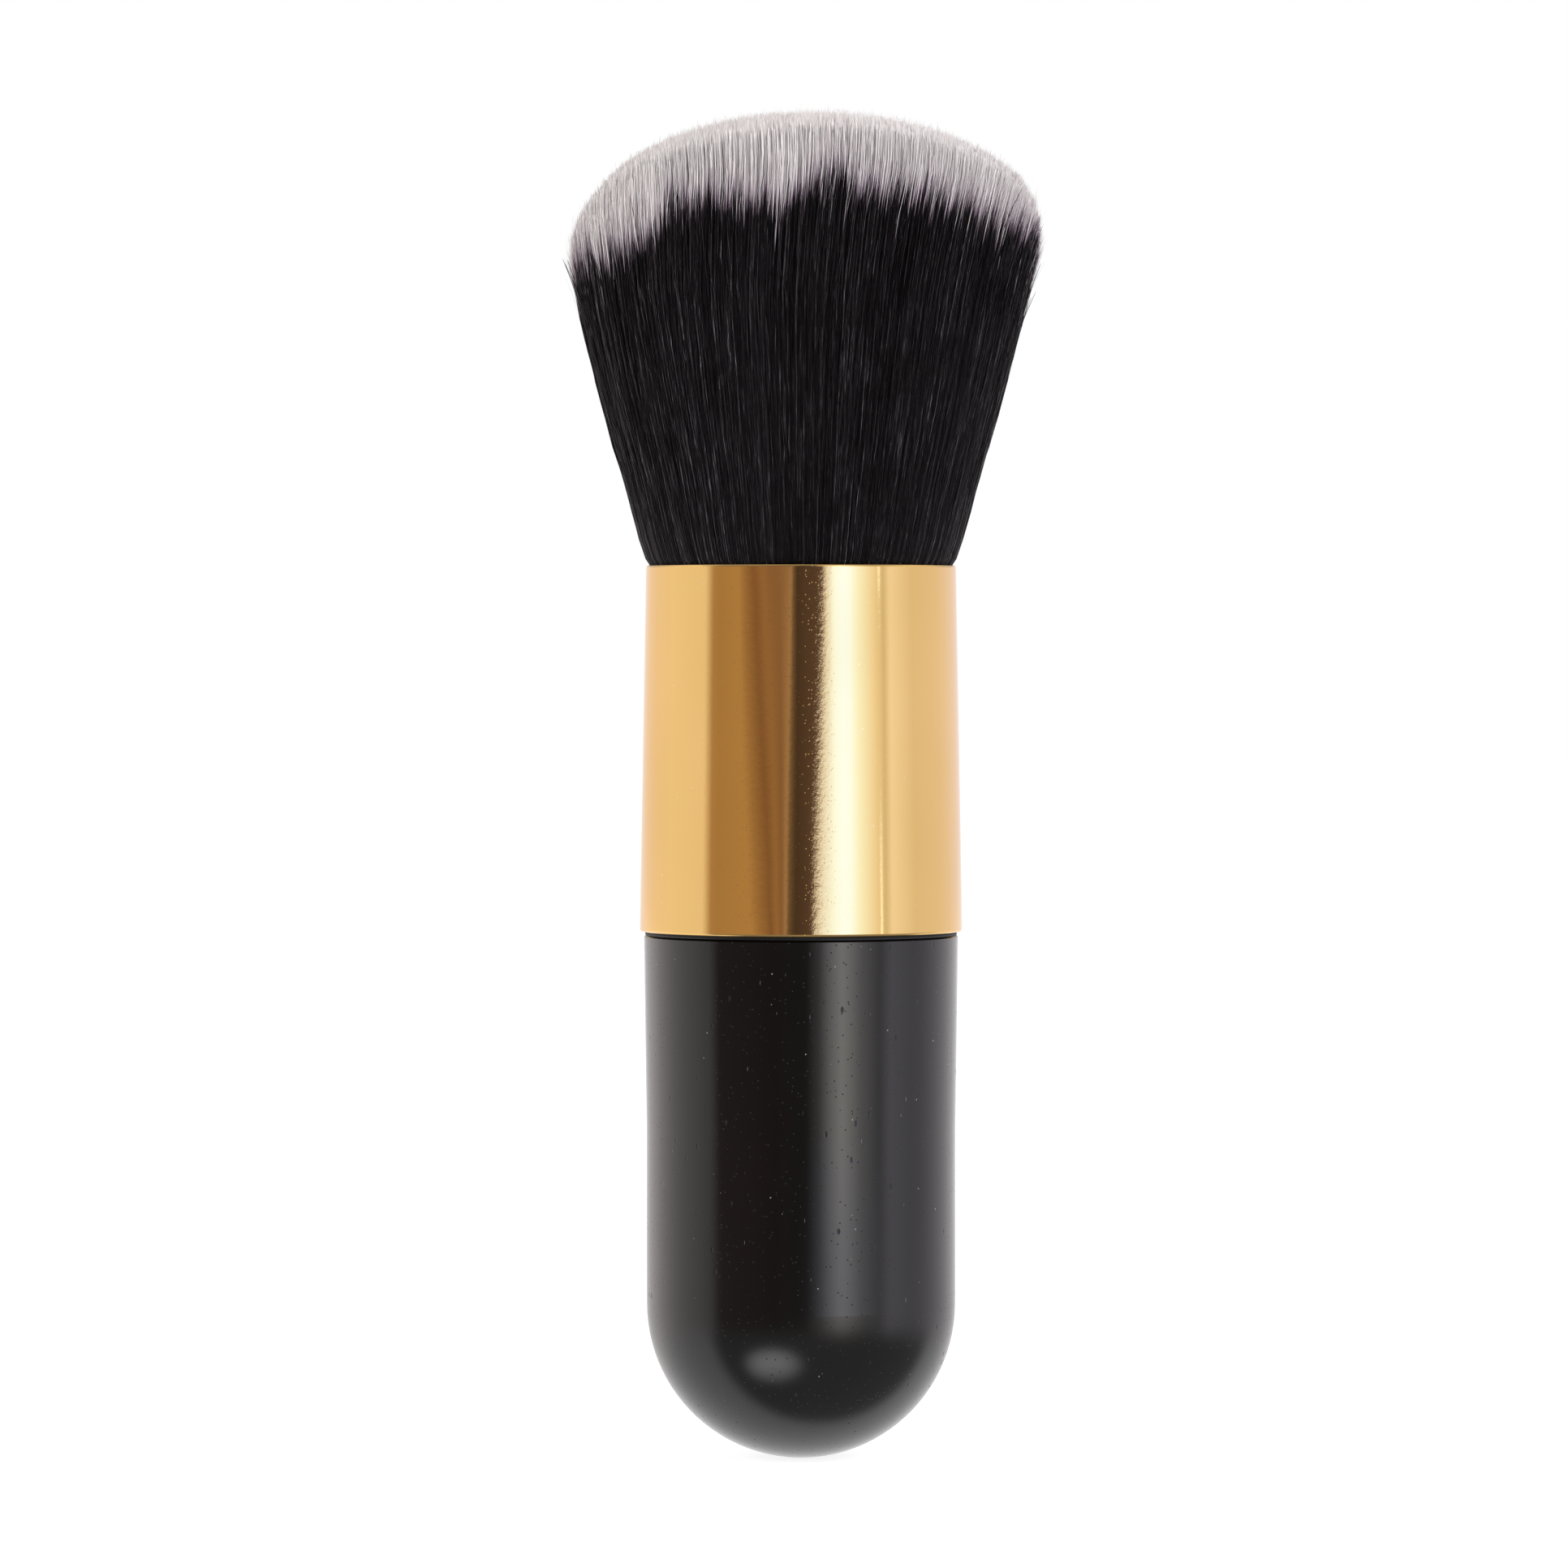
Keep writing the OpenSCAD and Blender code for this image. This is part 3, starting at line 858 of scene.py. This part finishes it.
LOWER_RING = (
    (-180, (1.0, 0.98, 0.97)),
    (-160, (1.05, 1.0, 1.0)),
    (-137, (1.45, 1.35, 1.33)),
    (-119, (1.45, 1.35, 1.33)),
    (-85, (1.08, 1.0, 1.0)),
    (-71.5, (0.88, 0.81, 0.8)),
    (-63.5, (0.24, 0.19, 0.185)),
    (-40, (0.2, 0.155, 0.15)),
    (-19, (0.15, 0.115, 0.105)),
    (4, (0.16, 0.15, 0.14)),
    (13, (0.72, 0.69, 0.66)),
    (23, (2.8, 2.66, 2.54)),
    (30, (4.0, 3.8, 3.54)),
    (37.5, (2.95, 2.8, 2.62)),
    (45, (1.8, 1.7, 1.65)),
    (60, (0.74, 0.73, 0.78)),
    (69.5, (1.42, 1.35, 1.5)),
    (89, (0.93, 0.91, 0.99)),
    (99, (0.9, 0.86, 0.94)),
    (124, (1.13, 1.09, 1.13)),
    (142, (1.22, 1.17, 1.19)),
    (180, (1.0, 0.98, 0.97)),
)
UPPER_RING = (
    (-180, grey(0.6)),
    (-140, grey(0.7)),
    (-110, grey(1.1)),
    (-84, grey(1.1)),
    (-66, (0.30, 0.27, 0.26)),
    (-5, (0.22, 0.20, 0.19)),
    (0, grey(0.1)),
    (10, grey(0.14)),
    (18, grey(1.0)),
    (30, grey(2.1)),
    (42, grey(1.2)),
    (56, grey(0.7)),
    (84, grey(1.0)),
    (110, grey(1.0)),
    (140, grey(0.7)),
    (180, grey(0.6)),
)
STUDIO_PEAK = 5.0
# How far the reflections on the ferrule slant: degrees round the studio, and degrees for each unit
# that the direction rises. They slant about SLANT_LEVEL, and no further than SLANT_REACH from it.
# The ramp that holds these rates spans SLANT_SPAN.
SLANT = (
    (-60, 0), (-40, -300), (-24, -340), (-14, -30), (-9, 110), (-5, 60), (-2, 0), (4, 0),
    (8, 190), (16, 190), (24, 0),
)
SLANT_SPAN = 1000
SLANT_LEVEL = 0.0195
SLANT_REACH = 0.03
# Heights of a direction, from -1 straight down to 1 straight up, over which a part of the studio
# gives way to the next
LOWER_EDGE = (-0.020, -0.040)
UPPER_EDGE = (0.06, 0.12)
TOP_EDGE = (0.62, 0.85)
BOTTOM_EDGE = (-0.13, -0.43)
TOP_LEVEL = 0.47
# The bottom brightens a little from left to right in front of the brush, and much more behind it.
FRONT_EDGE = (-0.35, 0.15)
FRONT_LEVELS = (0.32, 0.36)
BEHIND_TILT = -0.38
BEHIND_EDGE = (-0.06, 0.20)
BEHIND_LEVEL = 1.2
# A thin line of light, which shows above and below the middle of the ferrule's band. It is full
# over its middle fifth.
GLINT_AT = 59.5
GLINT_HALF_WIDTH = 1.6
GLINT_COLOUR = (0.4, 0.65, 1.1)
GLINT_ABOVE = (0.033, 0.039)
GLINT_BELOW = (0.013, -0.003)
# The softbox's sides in the lower ring, in degrees from outside to inside, and where and by how
# much it dims towards its foot
BOX_LEFT = (10, 16)
BOX_RIGHT = (60, 50)
BOX_FOOT = (-0.105, -0.15)
BOX_DIM = 0.35
# A soft oval lamp low on the left: its direction in degrees, half width and height, and level
SPOT_AT = (-25.5, -43)
SPOT_SIZE = (0.40, 0.30)
SPOT_LEVEL = 3.2
# Area lamps on the head: degrees from the camera towards the right, degrees up, width and height
# in metres, and watts
LAMPS = (
    ("key_lamp", 62, 12, 0.3, 0.5, 3.5),
    ("fill_lamp", -72, 12, 0.3, 0.5, 3.2),
    ("front_lamp", -4, 6, 0.5, 0.4, 0.6),
)
LAMP_DISTANCE = 0.6
# The floor: its half size in metres, its colour, and what the camera sees of it instead, which is
# partly shaded and partly an even glow
FLOOR_REACH = 4.0
FLOOR_GREY = 0.8
FLOOR_SHADE = 0.3
FLOOR_GLOW = 0.86


def turn_at(degrees):
    """Place round the studio, from 0 to 1, of degrees from the camera towards the right."""
    return degrees / 360 + 0.5


def studio_colour(colour):
    """A colour as the studio's tree holds it, in shares of the peak."""
    return tuple(c / STUDIO_PEAK for c in colour)


def ring_colour(tree, turn, stops):
    """Colour of one ring of the studio, where turn runs from 0 to 1 round it."""
    return ramp(tree, turn, [(turn_at(at), studio_colour(colour)) for at, colour in stops])


def direction_to(azimuth, elevation):
    """Unit vector at these degrees from the camera towards the right, and from level upwards."""
    a, e = math.radians(azimuth), math.radians(elevation)
    return math.sin(a) * math.cos(e), -math.cos(a) * math.cos(e), math.sin(e)


def glint(tree, ring, turn, shown):
    """Adds the thin upright line of light to a ring, where shown says how much of it shows."""
    off = calc(tree, "ABSOLUTE", calc(tree, "SUBTRACT", turn, turn_at(GLINT_AT)))
    edge = (GLINT_HALF_WIDTH / 360, GLINT_HALF_WIDTH / 5 / 360)
    line = calc(tree, "MULTIPLY", remap(tree, off, edge), shown)
    light = mix_colour(tree, line, grey(0), studio_colour(GLINT_COLOUR))
    return mix_colour(tree, 1.0, ring, light, blend="ADD")


def round_light(tree, direction, azimuth, elevation, half_width, half_height):
    """1 inside a soft oval lamp in this direction, whose light fades towards its foot."""
    middle = direction_to(azimuth, elevation)
    aside = direction_to(azimuth + 90, 0)
    upwards = direction_to(azimuth, elevation + 90)
    inputs = {0: direction, 1: middle}
    off = add_node(tree, "ShaderNodeVectorMath", inputs, operation="SUBTRACT").outputs[0]
    p = calc(tree, "DIVIDE", dot(tree, off, aside), half_width)
    q = calc(tree, "DIVIDE", dot(tree, off, upwards), half_height)
    away = calc(tree, "ADD", calc(tree, "MULTIPLY", p, p), calc(tree, "MULTIPLY", q, q))
    glow = calc(tree, "POWER", remap(tree, away, (1.2, 0.0)), 1.5)
    return calc(tree, "MULTIPLY", glow, remap(tree, q, (-1.3, 0.4)))


def studio_world():
    """Pale studio with a dim side behind the camera and a bright softbox to its right.

    The camera itself sees plain white."""
    world = bpy.data.worlds.new("studio")
    bpy.context.scene.world = world
    world.use_nodes = True
    tree = world.node_tree
    tree.nodes.clear()
    direction = add_node(tree, "ShaderNodeTexCoord").outputs["Generated"]
    x, y, z = add_node(tree, "ShaderNodeSeparateXYZ", {"Vector": direction}).outputs
    azimuth = calc(tree, "ARCTAN2", x, calc(tree, "MULTIPLY", y, -1.0))
    turn = calc(tree, "MULTIPLY_ADD", azimuth, 1 / (2 * math.pi), 0.5)

    slope = ramp(tree, turn, [(turn_at(degrees), grey(0.5 + rate / SLANT_SPAN))
                              for degrees, rate in SLANT])
    rate = calc(tree, "MULTIPLY", calc(tree, "SUBTRACT", slope, 0.5), SLANT_SPAN / 360)
    rise = calc(tree, "MAXIMUM", calc(tree, "SUBTRACT", z, SLANT_LEVEL), -SLANT_REACH)
    rise = calc(tree, "MINIMUM", rise, SLANT_REACH)
    slanted = calc(tree, "SUBTRACT", turn, calc(tree, "MULTIPLY", rate, rise))
    level = ring_colour(tree, slanted, LEVEL_RING)
    shown = calc(tree, "MAXIMUM", remap(tree, z, GLINT_ABOVE), remap(tree, z, GLINT_BELOW))
    level = glint(tree, level, turn, shown)
    lower = ring_colour(tree, turn, LOWER_RING)
    in_box = calc(tree, "MULTIPLY", *(remap(tree, turn, (turn_at(outer), turn_at(inner)))
                                      for outer, inner in (BOX_LEFT, BOX_RIGHT)))
    dim = calc(tree, "MULTIPLY", in_box, remap(tree, z, BOX_FOOT, (0.0, BOX_DIM)))
    lower = mix_colour(tree, dim, lower, grey(0))
    around = mix_colour(tree, remap(tree, z, LOWER_EDGE), level, lower)
    upper = ring_colour(tree, turn, UPPER_RING)
    around = mix_colour(tree, remap(tree, z, UPPER_EDGE), around, upper)

    # Far up the studio is plain. Far down it is dim in front of the brush and bright behind it.
    behind = remap(tree, calc(tree, "MULTIPLY_ADD", x, BEHIND_TILT, y), BEHIND_EDGE)
    front = mix_colour(tree, remap(tree, x, FRONT_EDGE),
                       *(studio_colour(grey(value)) for value in FRONT_LEVELS))
    bottom = mix_colour(tree, behind, front, studio_colour(grey(BEHIND_LEVEL)))
    spot = round_light(tree, direction, *SPOT_AT, *SPOT_SIZE)
    bottom = mix_colour(tree, spot, bottom, studio_colour(grey(SPOT_LEVEL)))
    colour = mix_colour(tree, remap(tree, z, BOTTOM_EDGE), around, bottom)
    top = studio_colour(grey(TOP_LEVEL))
    colour = mix_colour(tree, remap(tree, z, TOP_EDGE), colour, top)
    lit = add_node(tree, "ShaderNodeBackground", {"Color": colour, "Strength": STUDIO_PEAK})
    seen = add_node(tree, "ShaderNodeBackground", {"Color": grey(1), "Strength": 1.0})
    camera_apart(tree, lit, seen, "ShaderNodeOutputWorld")


def floor():
    """Plain white floor under the brush, which keeps a soft shadow.

    The studio lights the brush from below too, so only the camera sees the floor, and it holds
    back no light."""
    reach = FLOOR_REACH
    mesh = bpy.data.meshes.new("floor")
    corners = [(-reach, -reach, 0), (reach, -reach, 0), (reach, reach, 0), (-reach, reach, 0)]
    mesh.from_pydata(corners, [], [(0, 1, 2, 3)])
    made = link("floor", mesh)
    material = bpy.data.materials.new("white_floor")
    material.use_nodes = True
    tree = material.node_tree
    tree.nodes.clear()
    lit = add_node(tree, "ShaderNodeBsdfDiffuse", {"Color": grey(FLOOR_GREY)})
    faint = add_node(tree, "ShaderNodeBsdfDiffuse", {"Color": grey(FLOOR_SHADE)})
    glow = add_node(tree, "ShaderNodeEmission", {"Color": grey(1), "Strength": FLOOR_GLOW})
    shaders = {0: faint.outputs[0], 1: glow.outputs[0]}
    seen = add_node(tree, "ShaderNodeAddShader", shaders)
    camera_apart(tree, lit, seen, "ShaderNodeOutputMaterial")
    mesh.materials.append(material)
    made.visible_glossy = False
    made.visible_diffuse = False
    made.visible_shadow = False


def soft_lamp(name, azimuth, elevation, width, height, watts):
    """Area lamp that faces the head, for soft light alone: reflections show the studio."""
    away = Vector(direction_to(azimuth, elevation))
    data = bpy.data.lights.new(name, "AREA")
    data.shape = "RECTANGLE"
    data.size, data.size_y, data.energy = width, height, watts
    made = link(name, data)
    made.location = Vector((0, 0, MOUTH_Z * MM)) + away * LAMP_DISTANCE
    made.rotation_euler = (-away).to_track_quat("-Z", "Y").to_euler()
    made.visible_camera = False
    made.visible_glossy = False


def photo_camera():
    """The photograph's camera."""
    middle = PHOTO_SIDE_PX / 2
    eye = Vector(((middle - PHOTO_AXIS_COLUMN_PX) * PIXEL, -CAMERA_DISTANCE, EYE_Z))
    aim = Vector((eye.x, 0, (PHOTO_FOOT_ROW_PX - middle) * PIXEL))
    data = bpy.data.cameras.new("photo_camera")
    data.sensor_width = SENSOR_WIDTH_MM
    data.lens = SENSOR_WIDTH_MM * (aim - eye).length / (PHOTO_SIDE_PX * PIXEL)
    data.clip_start, data.clip_end = CAMERA_CLIP
    made = link("photo_camera", data)
    made.location = eye
    made.rotation_euler = (aim - eye).to_track_quat("-Z", "Y").to_euler()
    bpy.context.scene.camera = made


photo_camera()
studio_world()
floor()
for lamp in LAMPS:
    soft_lamp(*lamp)
dress_frame()
build_head()

bpy.context.scene.view_settings.view_transform = "Standard"
